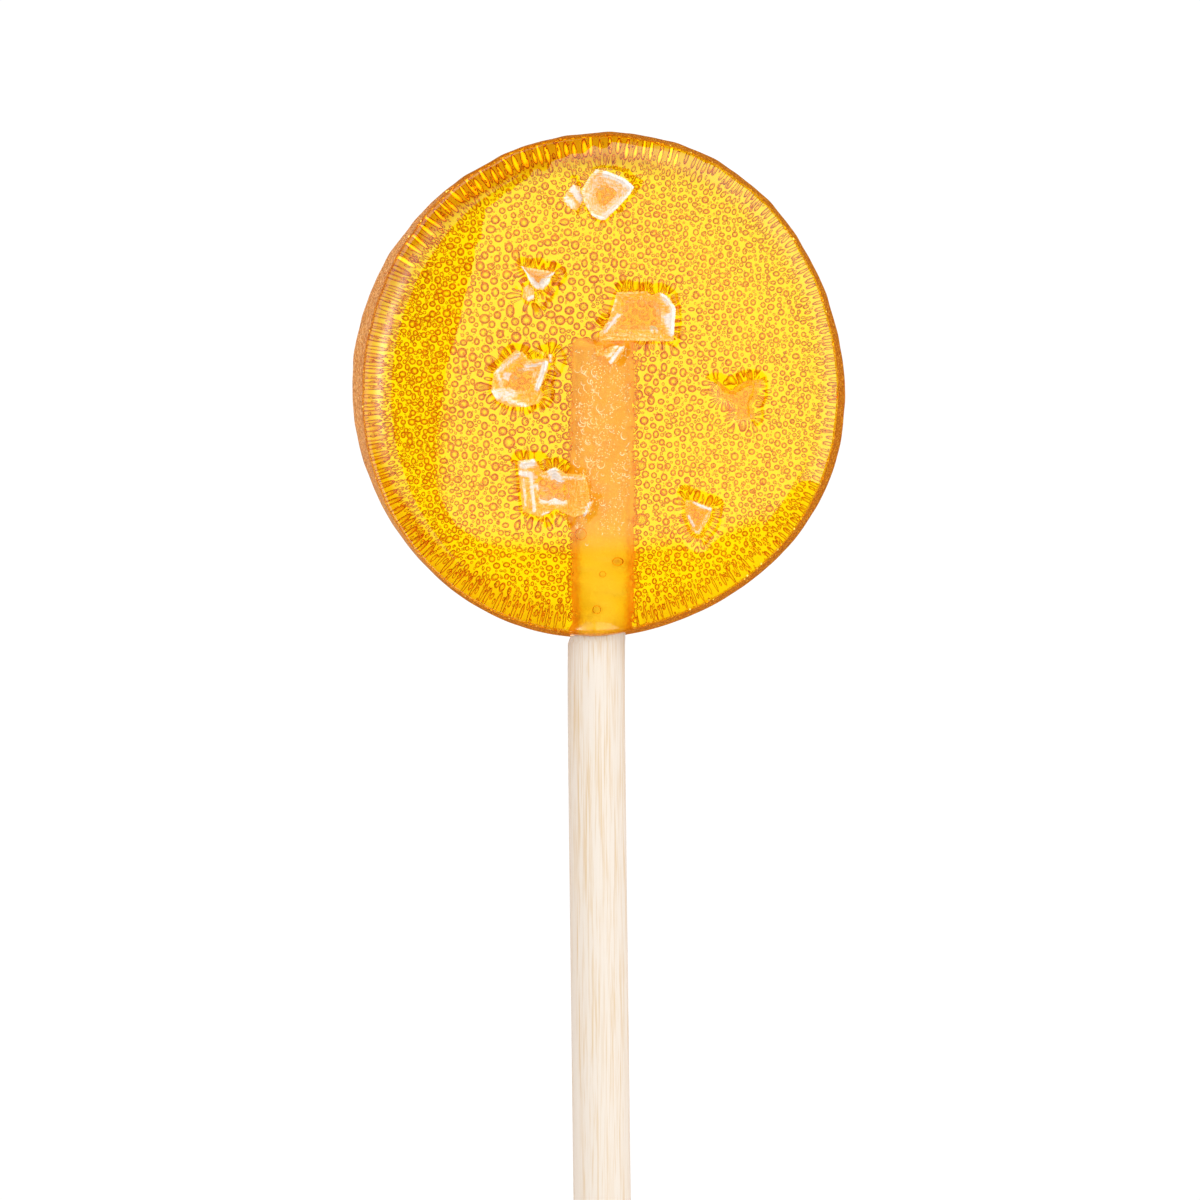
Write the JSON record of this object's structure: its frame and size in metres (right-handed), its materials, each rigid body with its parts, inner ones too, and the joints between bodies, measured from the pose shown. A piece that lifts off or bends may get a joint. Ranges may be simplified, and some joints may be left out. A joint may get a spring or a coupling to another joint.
{
  "type": "honey lollipop",
  "caption": "Flat round amber candy poured on the end of a straight wooden stick, with hollow salt flakes sunk in its face; lies on its flat back.",
  "frame": {"origin": "centre of the disc's flat back, which lies on the table", "axes": "+Z out of the face with the salt on it, -Y down the stick, +X to the right as the face is seen with the stick below"},
  "size_m": [0.0506, 0.1719, 0.0095],
  "materials": {
    "candy": "clear boiled honey candy, glossy, full of fine bubbles",
    "stick_wood": "pale bare wood, smooth, fine straight grain",
    "salt": "frosted white crystal, stepped and translucent"
  },
  "bodies": {
    "root": {"candy_disc": "candy", "stick": "stick_wood", "flake_top": "salt", "flake_high_left": "salt", "flake_middle": "salt", "flake_left": "salt", "flake_on_stick": "salt", "flake_right": "salt", "flake_low_right": "salt"}
  },
  "joints": []
}
